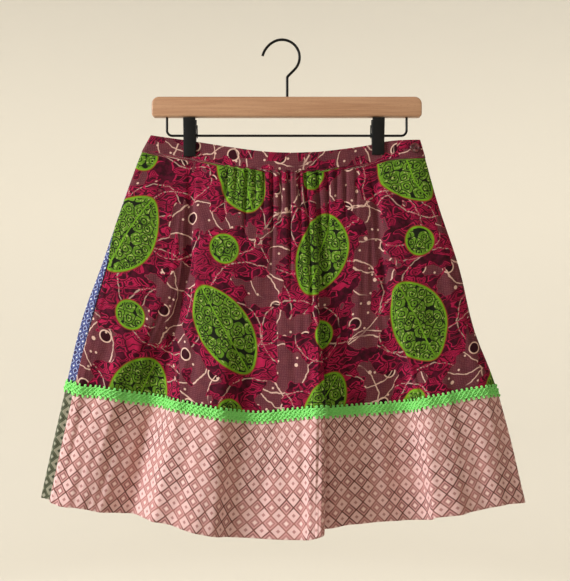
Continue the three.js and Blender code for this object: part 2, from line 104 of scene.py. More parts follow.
# Folds from the left side to the right.
# x at the band foot, hip, mid, low, trim line and hem; how far forward from the hip down;
# how much higher than its cut length the cloth hangs at trim line and hem; columns to the next fold
FRONT_FOLDS = [
    ("left side", (-183, -204, -235, -262, -282, -314), (0, 0, 0, 0, 0), (-3, -2), 3),
    ("left seam", (-181, -201, -228, -249, -267, -301), (3, 6, 8, 8, 8), (-1, 0), 2),
    ("left shoulder", (-172, -190, -215, -235, -254, -286), (5, 8, 11, 12, 14), (-1, -1), 3),
    ("left crest", (-135, -140, -155, -182, -226, -260), (6, 11, 16, 19, 22), (-6, -7), 3),
    ("left flank", (-123, -127, -135, -159, -195, -236), (5, 8, 11, 14, 15), (-4, -6), 6),
    ("first valley", (-116, -118, -123, -136, -156, -195), (5, 6, 7, 9, 9), (0, -1), 6),
    ("ridge left", (-107, -106, -108, -118, -137, -157), (9, 17, 25, 34, 44), (-2, 1), 4),
    ("ridge right", (-71, -74, -80, -86, -90, -106), (12, 20, 28, 38, 50), (-1, -2), 13),
    ("second valley", (-26, -26, -28, -31, -36, -65), (12, 17, 21, 25, 33), (-1, -4), 11),
    ("middle", (9, 10, 12, 14, 19, 25), (13, 20, 27, 33, 44), (6, -1), 7),
    ("ledge", (32, 36, 40, 42, 43, 41), (13, 22, 32, 42, 56), (8, 2), 3),
    ("ledge edge", (40, 45, 49, 51, 51, 50), (12, 20, 30, 39, 54), (8, 5), 5),
    ("under the ledge", (47, 50, 52, 52, 50, 47), (9, 12, 15, 19, 23), (6, 6), 11),
    ("shaded slope", (104, 103, 98, 96, 100, 112), (8, 11, 12, 12, 15), (0, 5), 5),
    ("third valley", (117, 119, 124, 141, 160, 178), (6, 7, 7, 7, 9), (-2, 0), 4),
    ("right crest", (134, 135, 142, 158, 176, 191), (9, 16, 22, 28, 36), (-1, 4), 3),
    ("right slope", (155, 164, 179, 194, 208, 242), (8, 13, 17, 20, 24), (2, 5), 4),
    ("right shoulder", (177, 192, 220, 239, 257, 289), (6, 8, 10, 11, 12), (4, 6), 4),
]
BACK_FOLDS = [
    ("right side", (187, 203, 232, 252, 280, 317), (0, 0, 0, 0, 0), (0, 0), 4),
    ("right turn", (176, 190, 216, 232, 256, 290), (6, 8, 9, 10, 11), (0, 0), 3),
    ("back crest one", (137, 142, 152, 164, 174, 200), (9, 14, 18, 20, 24), (0, 2), 3),
    ("back valley one", (117, 116, 118, 124, 130, 146), (5, 8, 9, 10, 11), (0, 0), 4),
    ("back crest two", (68, 70, 74, 80, 84, 96), (10, 15, 19, 22, 28), (0, 2), 8),
    ("back valley two", (36, 36, 36, 38, 38, 40), (7, 9, 10, 11, 12), (0, 0), 8),
    ("back crest three", (2, 0, -2, -6, -10, -18), (10, 14, 18, 20, 25), (0, 2), 8),
    ("back valley three", (-34, -36, -40, -46, -52, -62), (7, 9, 10, 11, 12), (0, 0), 8),
    ("back crest four", (-72, -76, -84, -94, -102, -118), (10, 15, 19, 22, 28), (0, 2), 5),
    ("back valley four", (-112, -117, -128, -142, -152, -172), (5, 8, 9, 10, 11), (0, 0), 3),
    ("back crest five", (-137, -146, -164, -182, -196, -222), (7, 11, 15, 17, 21), (0, 1), 3),
    ("left turn", (-172, -190, -217, -240, -258, -288), (4, 6, 8, 9, 10), (-3, -2), 4),
]
FOLDS = FRONT_FOLDS + BACK_FOLDS
SEAM_LEFT = 1
SEAM_RIGHT = len(FRONT_FOLDS)
SEAM_BEHIND, SEAM_TURNS_AT, SEAM_TURNS_OVER = 1.2, 110, 70
FRONT_CENTRE = 9
BACK_CENTRE = SEAM_RIGHT + 6

# Gathers under the band: x at the band foot, depth there, and how far down they reach
FRONT_GATHERS = [
    (-71, 2.0, 90),
    (-59, 1.6, 60),
    (-46, 2.6, 120),
    (-35, 1.8, 70),
    (-24, 2.2, 80),
    (-13, 3.2, 170),
    (-2, 2.2, 90),
    (9, 3.8, 200),
    (22, 2.8, 130),
    (30, 3.8, 210),
    (46, 3.2, 170),
    (59, 2.6, 120),
    (71, 1.8, 60),
    (83, 2.2, 100),
    (98, 1.8, 80),
]
BACK_GATHERS = [
    (82, 1.8, 70),
    (70, 2.4, 120),
    (57, 2.0, 80),
    (45, 2.6, 140),
    (32, 2.2, 90),
    (21, 2.8, 120),
    (8, 2.4, 160),
    (-4, 2.8, 90),
    (-16, 2.4, 130),
    (-28, 3.0, 150),
    (-41, 2.2, 80),
    (-53, 2.6, 130),
    (-66, 2.0, 90),
    (-79, 2.2, 110),
    (-92, 1.6, 60),
]
GATHER_HALF_WIDTH = 2.2
GATHER_DEEPER = 2.4

# Puckers at the seam under the band: the stretch that has them, how far down, and their waves
PUCKER_MIDDLE, PUCKER_HALF, PUCKER_DOWN = 14, 88, 26
PUCKER_WAVES = [(0.34, 1.29, 0), (0.26, 0.83, 1.1)]

# Soft creases: from x, z to x, z as seen from the front, depth pressed in (below 0 it
# stands out) and half width
FRONT_CREASES = [
    (-117, -158, -123, -300, 5.0, 4.5),
    (-123, -290, -152, -440, 4.4, 5),
    (119, -158, 131, -318, 5.4, 4.5),
    (130, -300, 160, -440, 4.4, 6),
    (46, -200, 51, -440, 3.6, 4),
    (-112, -158, -96, -238, 1.4, 6),
    (-150, -170, -182, -300, 1.2, 8),
    (-60, -300, -72, -420, -1.4, 8),
    (-5, -330, -16, -470, 1.4, 7),
    (146, -158, 168, -250, 1.5, 7),
    (-250, -390, -298, -660, -7.0, 16),
    (-206, -380, -246, -660, -3.5, 12),
    (-160, -400, -204, -660, 5.0, 11),
    (-112, -400, -148, -660, 8.5, 19),
    (-72, -400, -90, -660, -6.0, 14),
    (-38, -400, -68, -640, 2.0, 10),
    (58, -400, 64, -650, -6.0, 12),
    (100, -420, 124, -640, 2.0, 13),
    (140, -400, 168, -650, 4.0, 15),
    (172, -400, 190, -650, 7.0, 12),
    (202, -400, 228, -650, -4.0, 12),
    (248, -400, 298, -660, -4.5, 20),
    (-18, -520, -26, -640, 1.2, 9),
]
BACK_CREASES = [
    (-126, -160, -146, -250, 1.5, 7),
    (-110, -158, -92, -232, 1.3, 6),
    (-54, -290, -66, -420, 1.5, 8),
    (14, -300, 18, -450, -1.4, 8),
    (62, -320, 70, -460, 1.3, 8),
    (130, -160, 152, -246, 1.4, 7),
    (186, -340, 204, -480, 1.4, 9),
    (-206, -360, -226, -500, -1.3, 9),
    (-30, -520, -38, -636, 1.3, 9),
    (150, -520, 160, -630, 1.3, 9),
]

# Slow waves over the whole cloth: depth, how many folds long, cloth length of one wave, phase
DRAPE_WAVES = [
    (0.9, 1.7, 410, 0.3),
    (0.6, 0.9, 260, 1.9),
    (0.45, 0.55, -330, 4.1),
    (0.3, 0.37, 190, 2.6),
]

# How finely the cloth is drawn: columns for one of the fold table's steps, rows in mm, and the steps
# along a line right across
COLUMN_SPLIT = 4
PANEL_ROW = 3.0
BORDER_ROW = 3.0
BAND_ROW = 2.5
LINE_STEPS = 3000


def ease(t):
    """A smooth rise from 0 to 1."""
    t = np.clip(t, 0, 1)
    return t * t * (3 - 2 * t)


def slopes(places, values):
    """Slopes that keep a cubic through values, along the last axis, from swinging past them."""
    rise = np.diff(values) / np.diff(places)
    product = rise[..., :-1] * rise[..., 1:]
    total = np.where(product > 0, rise[..., :-1] + rise[..., 1:], 1)
    inner = np.where(product > 0, 2 * product / total, 0)
    return np.concatenate([rise[..., :1], inner, rise[..., -1:]], axis=-1)


def cubic(start, end, slope_start, slope_end, t, span):
    """A cubic stretch between two values with their slopes."""
    bend = t * t * (3 - 2 * t)
    lean_out = t * (1 - t) ** 2 * span * slope_start
    lean_in = t * t * (t - 1) * span * slope_end
    return start + (end - start) * bend + lean_out + lean_in


def waist_height(x):
    """The waist edge's height, which sags between and beyond the clips."""
    lean = slopes(WAIST_EDGE_X, WAIST_EDGE_Z)
    i = np.clip(np.searchsorted(WAIST_EDGE_X, x) - 1, 0, len(WAIST_EDGE_X) - 2)
    span = WAIST_EDGE_X[i + 1] - WAIST_EDGE_X[i]
    t = np.clip((x - WAIST_EDGE_X[i]) / span, 0, 1)
    return cubic(WAIST_EDGE_Z[i], WAIST_EDGE_Z[i + 1], lean[i], lean[i + 1], t, span)


def band_out(x):
    """Half the depth of the closed waistband at x."""
    grip = JAW_WIDTH / 2 + 1
    if CLIP_LEFT + grip < x < CLIP_RIGHT - grip:
        across = (x - CLIP_LEFT - grip) / (CLIP_RIGHT - CLIP_LEFT - 2 * grip)
        return PINCH + (BULGE - PINCH) * math.sin(math.pi * across) ** 2
    beyond = max(CLIP_LEFT - grip - x, x - CLIP_RIGHT - grip, 0)
    return PINCH + (END_OUT - PINCH) * float(ease(beyond / 22))


def fold_points(fold, side):
    """A fold's points at the seven sections. Its drop is what its slant leaves of the cloth's length."""
    _, across, forward, lift, _ = fold
    is_side = forward[-1] == 0
    along = (across[0] - FOOT_LEFT) / (FOOT_RIGHT - FOOT_LEFT)
    waist_x = WAIST_LEFT + along * (WAIST_RIGHT - WAIST_LEFT)
    x = np.array([waist_x, *across])
    edge_out = [0, 0] if is_side else [band_out(waist_x), band_out(across[0])]
    out = np.array([*edge_out, *forward], float)
    drop = np.sqrt(np.diff(DOWN) ** 2 - np.diff(x) ** 2 - np.diff(out) ** 2)
    z = waist_height(waist_x) - np.concatenate([[0], np.cumsum(drop)])
    z[-2:] += lift
    return np.array([x, side * out, z])


FOLD_POINTS = np.array([fold_points(f, -1 if i < SEAM_RIGHT else 1) for i, f in enumerate(FOLDS)])
FOLD_SLOPES = slopes(DOWN, FOLD_POINTS)


def ring(column, down):
    """Points of the ungathered cloth, by places round the ring counted in folds and distances down."""
    column, down = np.broadcast_arrays(column, np.clip(down, 0, HEM))
    first = np.floor(column).astype(int)
    knots = (first[..., None] + np.array([-1, 0, 1, 2])) % len(FOLDS)
    j = np.clip(np.searchsorted(DOWN, down) - 1, 0, len(DOWN) - 2)[..., None]
    span = (DOWN[j + 1] - DOWN[j])[..., None]
    t = (down[..., None, None] - DOWN[j][..., None]) / span
    p = cubic(
        FOLD_POINTS[knots, :, j],
        FOLD_POINTS[knots, :, j + 1],
        FOLD_SLOPES[knots, :, j],
        FOLD_SLOPES[knots, :, j + 1],
        t,
        span,
    )
    p0, p1, p2, p3 = (p[..., k, :] for k in range(4))
    reach0, reach1, reach2 = (
        np.sqrt(np.linalg.norm(b - a, axis=-1, keepdims=True)) for a, b in [(p0, p1), (p1, p2), (p2, p3)]
    )
    lean1 = ((p1 - p0) / reach0 - (p2 - p0) / (reach0 + reach1) + (p2 - p1) / reach1) * reach1
    lean2 = ((p2 - p1) / reach1 - (p3 - p1) / (reach1 + reach2) + (p3 - p2) / reach2) * reach1
    w = (column - first)[..., None]
    return cubic(p1, p2, lean1, lean2, w, 1)


def unit(vectors):
    """Vectors of length 1."""
    return vectors / np.linalg.norm(vectors, axis=-1, keepdims=True)


def is_front(column):
    """True for places on the front, between the two side seams."""
    place = column % len(FOLDS)
    return (place > SEAM_LEFT) & (place < SEAM_RIGHT)


def gathers(column, down):
    """How deep the gathers under the band press in, with the small puckers at the seam itself."""
    foot_x = ring(column, BAND_FOOT)[..., 0]
    front = is_front(column)
    depth = np.zeros(foot_x.shape)
    for rows, here in ((FRONT_GATHERS, front), (BACK_GATHERS, ~front)):
        for x, deep, reach in rows:
            away = (foot_x - x) / GATHER_HALF_WIDTH
            fade = 1 - ease((down - BAND_FOOT) / reach)
            depth += here * deep * GATHER_DEEPER * np.exp(-away * away) * fade
    middle = ease((PUCKER_HALF - np.abs(foot_x - PUCKER_MIDDLE)) / 14)
    pucker = sum(deep * np.sin(foot_x * rate + phase) for deep, rate, phase in PUCKER_WAVES)
    depth += middle * pucker * (1 - ease((down - BAND_FOOT) / PUCKER_DOWN))
    return np.where(down < BAND_FOOT, 0, depth)


def creases(column, points):
    """How deep the listed creases press in. They fade in and out round their ends."""
    x, z = points[..., 0], points[..., 2]
    front = is_front(column)
    depth = np.zeros(x.shape)
    for rows, here in ((FRONT_CREASES, front), (BACK_CREASES, ~front)):
        for x0, z0, x1, z1, deep, half_width in rows:
            run = np.array([x1 - x0, z1 - z0], float)
            length = np.linalg.norm(run)
            along = ((x - x0) * run[0] + (z - z0) * run[1]) / length**2
            aside = ((x - x0) * run[1] - (z - z0) * run[0]) / length
            ends = ease(along * 3 + 0.5) * ease((1 - along) * 3 + 0.5)
            depth += here * deep * ends * np.exp(-((aside / half_width) ** 2))
    return depth


def drape(column, down):
    """Slow uneven waves, none at the waist and the most at the hem."""
    grown = ease((down - BAND_FOOT) / 160) * (0.6 + 0.4 * down / HEM)
    turn = 2 * math.pi
    wave = sum(
        deep * np.sin(turn * (column / folds + down / run) + phase) for deep, folds, run, phase in DRAPE_WAVES
    )
    return wave * grown


def left_seam(down):
    """The left seam's place round the ring. It lies behind the edge at the hips and comes forward below."""
    return SEAM_LEFT - SEAM_BEHIND * (1 - ease((down - SEAM_TURNS_AT) / SEAM_TURNS_OVER))


def seams(column, down):
    """Shallow grooves at the side seams, and the slight step where the hem is doubled."""
    half = len(FOLDS) / 2
    from_left = np.abs((column - left_seam(down) + half) % len(FOLDS) - half)
    away = np.minimum(from_left, np.abs(column - SEAM_RIGHT))
    groove = SEAM_GROOVE * np.exp(-((away / SEAM_HALF_WIDTH) ** 2)) * (down > BAND_FOOT)
    return groove - HEM_STEP * ease((down - (HEM - HEM_TURN)) / 5)


def pressed(column, down):
    """The finished cloth's middle surface, in mm."""
    column, down = np.broadcast_arrays(np.asarray(column, float), np.asarray(down, float))
    points = ring(column, down)
    across = ring(column + 0.02, down) - ring(column - 0.02, down)
    downwards = ring(column, down + 3) - ring(column, down - 3)
    level = np.cross(downwards, across)
    level[..., 2] = 0
    depth = gathers(column, down) + creases(column, points) + drape(column, down)
    depth = np.minimum(depth, PRESS_ROOM * np.abs(points[..., 1])) + seams(column, down)
    return points - unit(level) * depth[..., None]


def outwards(column, down):
    """The finished cloth's outward normals."""
    column, down = np.broadcast_arrays(np.asarray(column, float), np.asarray(down, float))
    across = pressed(column + 0.015, down) - pressed(column - 0.015, down)
    downwards = pressed(column, np.minimum(down + 1, HEM)) - pressed(column, np.maximum(down - 1, 0))
    return unit(np.cross(downwards, across))


def columns_between(start, end):
    """Places round the ring from one seam to the next, closely spaced where the fold table is."""
    places = []
    for i in range(start, end):
        steps = FOLDS[i % len(FOLDS)][-1] * COLUMN_SPLIT
        places += [i + k / steps for k in range(steps)]
    return np.array([*places, end])


SIDES = {
    "front": {"columns": columns_between(SEAM_LEFT, SEAM_RIGHT), "centre": FRONT_CENTRE},
    "back": {"columns": columns_between(SEAM_RIGHT, SEAM_LEFT + len(FOLDS)), "centre": BACK_CENTRE},
}


def row_columns(side, down):
    """The columns of a sheet's rows. Those next to the left seam follow it."""
    columns, down = np.broadcast_arrays(SIDES[side]["columns"][None, :], down)
    seam_column = SEAM_LEFT if side == "front" else SEAM_LEFT + len(FOLDS)
    near = np.clip(1 - np.abs(columns - seam_column), 0, 1)
    return columns - (SEAM_LEFT - left_seam(down)) * near


def srgb(red, green, blue):
    """A colour as it shows on screen, 0 to 255, as Blender's linear one."""

    def linear(c):
        c /= 255
        return c / 12.92 if c <= 0.04045 else ((c + 0.055) / 1.055) ** 2.4

    return (linear(red), linear(green), linear(blue), 1)


class Value:
    """A number that varies over a surface. Arithmetic on it adds Math nodes."""

    def __init__(self, finish, socket):
        self.finish = finish
        self.socket = socket

    def math(self, operation, *others):
        return self.finish.math(operation, self, *others)

    def __add__(self, other):
        return self.math("ADD", other)

    __radd__ = __add__

    def __sub__(self, other):
        return self.math("SUBTRACT", other)

    def __rsub__(self, other):
        return self.finish.math("SUBTRACT", other, self)

    def __mul__(self, other):
        return self.math("MULTIPLY", other)

    def __truediv__(self, other):
        return self.math("DIVIDE", other)

    def __abs__(self):
        return self.math("ABSOLUTE")

    def wrap(self, pitch):
        """The distance from the nearest multiple of the pitch."""
        return self.math("WRAP", pitch / 2, -pitch / 2)

    def step(self, at, soft, low, high):
        """A smooth step from one number to another."""
        settings = {"interpolation_type": "SMOOTHSTEP"}
        inputs = [self, at - soft / 2, at + soft / 2, low, high]
        return self.finish.node("ShaderNodeMapRange", settings, inputs)

    def above(self, at, soft=0.4):
        return self.step(at, soft, 0, 1)

    def below(self, at, soft=0.4):
        return self.step(at, soft, 1, 0)


class Finish:
    """A material, and the nodes that feed its shader."""

    def __init__(self, name, **constants):
        self.material = bpy.data.materials.new(name)
        self.material.use_nodes = True
        self.tree = self.material.node_tree
        self.shader = self.tree.nodes["Principled BSDF"]
        for socket, value in constants.items():
            self.shader.inputs[socket.replace("_", " ")].default_value = value

    def node(self, kind, settings, inputs, output=0):
        """A node's output: settings are set first, then the values or links of its sockets."""
        made = self.tree.nodes.new(kind)
        for name, value in settings.items():
            setattr(made, name, value)
        keyed = inputs.items() if isinstance(inputs, dict) else enumerate(inputs)
        for key, value in keyed:
            self.feed(made.inputs[key], value)
        return Value(self, made.outputs[output])

    def feed(self, socket, value):
        if isinstance(value, Value):
            self.tree.links.new(value.socket, socket)
        else:
            socket.default_value = value

    def math(self, operation, *values):
        return self.node("ShaderNodeMath", {"operation": operation}, list(values))

    def vector(self, x, y, z=0):
        return self.node("ShaderNodeCombineXYZ", {}, [x, y, z])

    def split(self, vector):
        parts = self.node("ShaderNodeSeparateXYZ", {}, [vector])
        outputs = parts.socket.node.outputs
        return [Value(self, outputs[k]) for k in range(3)]

    def cut_place(self):
        """Where a point lies on the flat cut cloth, in mm across and down."""
        u, v, _ = self.split(self.node("ShaderNodeUVMap", {"uv_map": "cut"}, []))
        return u / MM, v / MM

    def object_place(self):
        """Where a point lies in the object, in mm."""
        x, y, z = self.split(self.node("ShaderNodeTexCoord", {}, [], output="Object"))
        return x / MM, y / MM, z / MM

    def distance(self, x, y):
        return self.node("ShaderNodeVectorMath", {"operation": "LENGTH"}, [self.vector(x, y)], output="Value")

    def noise(self, x, y, size, seed=0.0, detail=2.0):
        place = self.vector(x / size, y / size, seed)
        return self.node("ShaderNodeTexNoise", {}, {"Vector": place, "Scale": 1, "Detail": detail})

    def cells(self, x, y, size, feature="F1", seed=0.0, randomness=1.0, output="Distance"):
        """Irregular cells of about one size: distance to a cell's centre or edge in mm, or its own number."""
        place = self.vector(x / size + seed, y / size)
        settings = {"feature": feature, "voronoi_dimensions": "2D"}
        inputs = {"Vector": place, "Scale": 1, "Randomness": randomness}
        made = self.node("ShaderNodeTexVoronoi", settings, inputs, output=output)
        if output == "Distance":
            return made * size
        return self.node("ShaderNodeSeparateColor", {}, [made])

    def lay(self, under, over, mask):
        """One colour laid over another where the mask is 1."""
        return self.node("ShaderNodeMix", {"data_type": "RGBA"}, {0: mask, 6: under, 7: over}, output=2)

    def tint(self, colour, value):
        """A colour made darker or lighter by a varying number."""
        settings = {"data_type": "RGBA", "blend_type": "MULTIPLY"}
        return self.node("ShaderNodeMix", settings, {0: 1.0, 6: colour, 7: value}, output=2)

    def bump(self, height, depth):
        """Relief of a depth in metres, where the height is 1."""
        inputs = {"Strength": 1, "Distance": depth, "Height": height}
        return self.node("ShaderNodeBump", {}, inputs, output="Normal")

    def finish(self, **fed):
        for socket, value in fed.items():
            self.feed(self.shader.inputs[socket.replace("_", " ")], value)
        return self.material


# Pitch of the drawn threads in mm, wide enough to be seen from a step away, and their relief in metres
THREAD_PITCH, THREAD_RELIEF = 1.2, 0.00012

FRONT_COTTON = {"Roughness": 0.86, "Sheen_Weight": 0.05, "Specular_IOR_Level": 0.2}
BACK_COTTON = {"Roughness": 0.86, "Sheen_Weight": 0.08, "Specular_IOR_Level": 0.25}

MAUVE = srgb(106, 48, 56)
MAUVE_DOT = srgb(136, 86, 88)
MAUVE_DARK = srgb(86, 34, 48)
BURGUNDY = srgb(84, 2, 34)
BURGUNDY_DEEP = srgb(50, 0, 16)
PINK = srgb(180, 22, 72)
PINK_DIM = srgb(140, 10, 52)
CREAM = srgb(228, 190, 172)
LIME = srgb(112, 164, 28)
LIME_MID = srgb(104, 148, 34)
LIME_DEEP = srgb(78, 118, 22)
LIME_PALE = srgb(186, 200, 112)
OLIVE = srgb(20, 24, 6)
RUST = srgb(140, 74, 34)

# How far the burgundy clouds reach from the motifs, in mm, before their edges wander
CLOUD_EDGE = 29


def finish_cotton(cotton, u, v, colour, size, seed, uneven):
    """Plain woven threads in relief, thicker here and there, dyed a little unevenly."""
    colour = cotton.tint(colour, 1 - uneven / 2 + cotton.noise(u, v, size, seed=seed) * uneven)
    turn = 2 * math.pi / THREAD_PITCH
    warp = (u * turn).math("SINE")
    weft = (v * turn).math("SINE")
    slub = cotton.noise(u, v * 0.2, 1.6, detail=1)
    relief = cotton.bump(warp * 0.3 + weft * 0.3 + slub, THREAD_RELIEF)
    return cotton.finish(Base_Color=colour, Normal=relief)


def motifs(cotton, u, v):
    """Distance from the nearest leaf or disc, in mm and below 0 inside, and from a leaf's midrib."""
    pitch_u, pitch_v = 138, 208
    leaf_round, leaf_shift = 70, 33
    disc_radius = 19
    tilt = math.radians(31)
    column = (u / pitch_u).math("ROUND")
    odd = column.math("FLOORED_MODULO", 2)
    across = u.wrap(pitch_u)
    down = (v - odd * (pitch_v / 2)).wrap(pitch_v)
    lean = odd * 2 - 1
    x = across * math.cos(tilt) + lean * down * math.sin(tilt)
    y = down * math.cos(tilt) - lean * across * math.sin(tilt)
    leaf = cotton.distance(x - leaf_shift, y).math("SMOOTH_MAX", cotton.distance(x + leaf_shift, y), 18)
    leaf = leaf - leaf_round
    disc = cotton.distance(across, pitch_v / 2 - abs(down)) - disc_radius
    return leaf.math("MINIMUM", disc), abs(x) + leaf.above(0, 0.1) * 50


def cream_arcs(cotton, u, v):
    """Thin beaded lines along large crossing circles."""
    rows = [(148, 134, 22, 35, 53), (122, 170, -38, 92, 44), (136, 118, 71, 12, 37)]
    bead = cotton.noise(u, v, 2.2, seed=7)
    coming = cotton.noise(u, v, 46, seed=3, detail=1).above(0.34, 0.1)
    drawn = None
    sway = (cotton.noise(u, v, 17, seed=19) - 0.5) * 9
    for pitch_u, pitch_v, shift_u, shift_v, radius in rows:
        away = cotton.distance((u - shift_u).wrap(pitch_u), (v - shift_v).wrap(pitch_v)) + sway
        line = (abs(away - radius) - bead * 0.9).below(0.3, 0.5)
        drawn = line if drawn is None else drawn.math("MAXIMUM", line)
    return drawn * coming


def pebbles(cotton, u, v):
    """Small closed outlines of uneven size, some of them doubled or filled."""
    bent_u = u + (cotton.noise(u, v, 15, seed=11) - 0.5) * 16
    bent_v = v + (cotton.noise(u, v, 15, seed=23) - 0.5) * 16
    along = bent_u * 0.5 - bent_v * 0.22
    aside = bent_u * 0.3 + bent_v * 1.1
    edge = cotton.cells(along, aside, 10, feature="DISTANCE_TO_EDGE")
    pick = cotton.cells(along, aside, 10, output="Color")
    outline = abs(edge - 1.35).below(0.6, 0.4) * pick.above(0.14, 0.01)
    doubled = abs(edge - 3.1).below(0.5, 0.4) * pick.above(0.5, 0.01)
    filled = pick.above(0.95, 0.01) * edge.above(1.2)
    return outline.math("MAXIMUM", doubled).math("MAXIMUM", filled)


def ringed_discs(cotton, u, v):
    """The inside of a motif: close set round cells drawn in dark lines, pale here and there."""
    bent_u = u + (cotton.noise(u, v, 9, seed=31) - 0.5) * 5
    bent_v = v + (cotton.noise(u, v, 9, seed=37) - 0.5) * 5
    away = cotton.cells(bent_u, bent_v, 13, randomness=0.75) + (cotton.noise(u, v, 4, seed=43) - 0.5) * 1.6
    edge = cotton.cells(bent_u, bent_v, 13, feature="DISTANCE_TO_EDGE", randomness=0.75)
    colour = cotton.lay(LIME_DEEP, LIME_MID, cotton.noise(u, v, 8, seed=39).above(0.5, 0.35))
    colour = cotton.lay(colour, LIME_PALE, cotton.noise(u, v, 3.5, seed=41).above(0.61, 0.12) * 0.8)
    lines = edge.below(0.6, 0.5)
    lines = lines.math("MAXIMUM", abs(away - 3.9).below(0.6, 0.45))
    lines = lines.math("MAXIMUM", away.below(1.3, 0.4))
    return cotton.lay(colour, OLIVE, lines.math("MAXIMUM", away.above(8.6, 0.6)))


def batik_finish():
    """Wax printed cotton: lime leaves and discs on burgundy clouds and a dotted mauve ground."""
    cotton = Finish("batik_cotton", **FRONT_COTTON)
    u, v = cotton.cut_place()
    motif, midrib = motifs(cotton, u, v)
    cloud = motif + (cotton.noise(u, v, 46, seed=5, detail=3) - 0.5) * 190

    dots = cotton.cells(u, v, 2.3, randomness=0.25).below(0.62, 0.5)
    colour = cotton.lay(MAUVE, MAUVE_DARK, cotton.noise(u, v, 12, seed=13).above(0.5, 0.3) * 0.6)
    colour = cotton.lay(colour, MAUVE_DOT, dots * 0.5)

    spot = cotton.cells(u, v, 40, seed=0.5, randomness=0.9)
    kind = cotton.cells(u, v, 40, seed=0.5, randomness=0.9, output="Color")
    small_dot = cotton.cells(u, v, 23, seed=2.5).below(1.5)
    has_ring = kind.below(0.5, 0.01)
    has_dot = kind.above(0.5, 0.01)
    colour = cotton.lay(colour, CREAM, spot.below(8.3) * has_ring)
    colour = cotton.lay(colour, BURGUNDY_DEEP, spot.below(6.6) * has_ring)
    colour = cotton.lay(colour, CREAM, (spot.below(2.5) * has_dot).math("MAXIMUM", small_dot))
    colour = cotton.lay(colour, CREAM, cream_arcs(cotton, u, v) * 0.92)

    in_cloud = cloud.below(CLOUD_EDGE, 1.5)
    wash = cotton.noise(u, v, 7, seed=17).above(0.5, 0.3)
    thin_arcs = cream_arcs(cotton, v, u) * 0.6
    burgundy = cotton.lay(cotton.lay(BURGUNDY, BURGUNDY_DEEP, wash), CREAM, thin_arcs)
    colour = cotton.lay(colour, burgundy, in_cloud)
    strokes = pebbles(cotton, u, v) * cloud.below(CLOUD_EDGE - 3)
    strokes = strokes.math("MAXIMUM", abs(cloud - CLOUD_EDGE).below(0.8, 0.5) * 0.85)
    pink = cotton.lay(PINK_DIM, PINK, cotton.noise(u, v, 22, seed=29).above(0.47, 0.2))
    colour = cotton.lay(colour, pink, strokes)

    colour = cotton.lay(colour, RUST, motif.below(1.3))
    rim = cotton.lay(LIME, LIME_MID, cotton.noise(u, v, 14, seed=47).above(0.55, 0.2))
    colour = cotton.lay(colour, rim, motif.below(0))
    inside = (motif + cotton.noise(u, v, 5, seed=53) * 1.6).below(-1.6) * midrib.above(0.9)
    colour = cotton.lay(colour, ringed_discs(cotton, u, v), inside)
    return finish_cotton(cotton, u, v, colour, 3, 51, 0.2)


def lattice(u, v, across, down):
    """Diamonds set point to point: distance from a diamond's centre, 0 to 0.5, and every other one as 1."""
    p = u / across + v / down
    q = u / across - v / down
    out = abs(p.wrap(1)).math("MAXIMUM", abs(q.wrap(1)))
    other = (p.math("ROUND") + q.math("ROUND")).math("FLOORED_MODULO", 2)
    return out, other


def border_finish():
    """Pale pink cotton with a diamond lattice, every other diamond in outlines."""
    cotton = Finish("border_cotton", **FRONT_COTTON)
    u, v = cotton.cut_place()
    out, other = lattice(u, v, 17.4, 19)
    soft = 0.04
    worn = cotton.noise(u, v, 38, seed=63, detail=3).above(0.5, 0.16)
    line = cotton.lay(srgb(170, 114, 106), srgb(110, 64, 56), worn)
    pale = cotton.lay(srgb(236, 196, 191), srgb(186, 132, 128), out.below(0.13, 0.08))
    outlined = cotton.lay(srgb(209, 155, 151), line, abs(out - 0.27).below(0.036, soft) * 0.8)
    outlined = cotton.lay(outlined, srgb(244, 212, 204), out.below(0.15, soft))
    colour = cotton.lay(outlined, pale, other)
    colour = cotton.lay(colour, line, out.above(0.44, soft))
    return finish_cotton(cotton, u, v, colour, 4, 61, 0.16)


def blue_finish():
    """The back's cotton: a small blue and purple repeat with white flecks."""
    cotton = Finish("blue_cotton", **BACK_COTTON)
    u, v = cotton.cut_place()
    out, other = lattice(u, v, 11, 11)
    soft = 0.05
    small = cotton.lay(srgb(58, 48, 88), srgb(220, 224, 238), out.below(0.15, soft))
    small = cotton.lay(small, srgb(92, 112, 172), abs(out - 0.3).below(0.06, soft))
    broad = cotton.lay(srgb(92, 112, 172), srgb(58, 48, 88), out.below(0.26, soft))
    broad = cotton.lay(broad, srgb(205, 210, 230), abs(out - 0.34).below(0.03, soft))
    colour = cotton.lay(small, broad, other)
    colour = cotton.lay(colour, srgb(70, 66, 110), out.above(0.45, soft))
    return finish_cotton(cotton, u, v, colour, 4, 71, 0.2)


def green_finish():
    """The back border's cotton: an olive diamond lattice."""
    cotton = Finish("green_cotton", **BACK_COTTON)
    u, v = cotton.cut_place()
    out, other = lattice(u, v, 17, 17.5)
    soft = 0.04
    plain = cotton.lay(srgb(150, 148, 126), srgb(66, 68, 52), out.below(0.15, soft))
    outlined = cotton.lay(srgb(92, 94, 72), srgb(52, 56, 42), abs(out - 0.32).below(0.04, soft))
    outlined = cotton.lay(outlined, srgb(164, 162, 142), out.below(0.16, soft))
    colour = cotton.lay(outlined, plain, other)
    colour = cotton.lay(colour, srgb(72, 78, 56), out.above(0.45, soft))
    return finish_cotton(cotton, u, v, colour, 4, 81, 0.16)


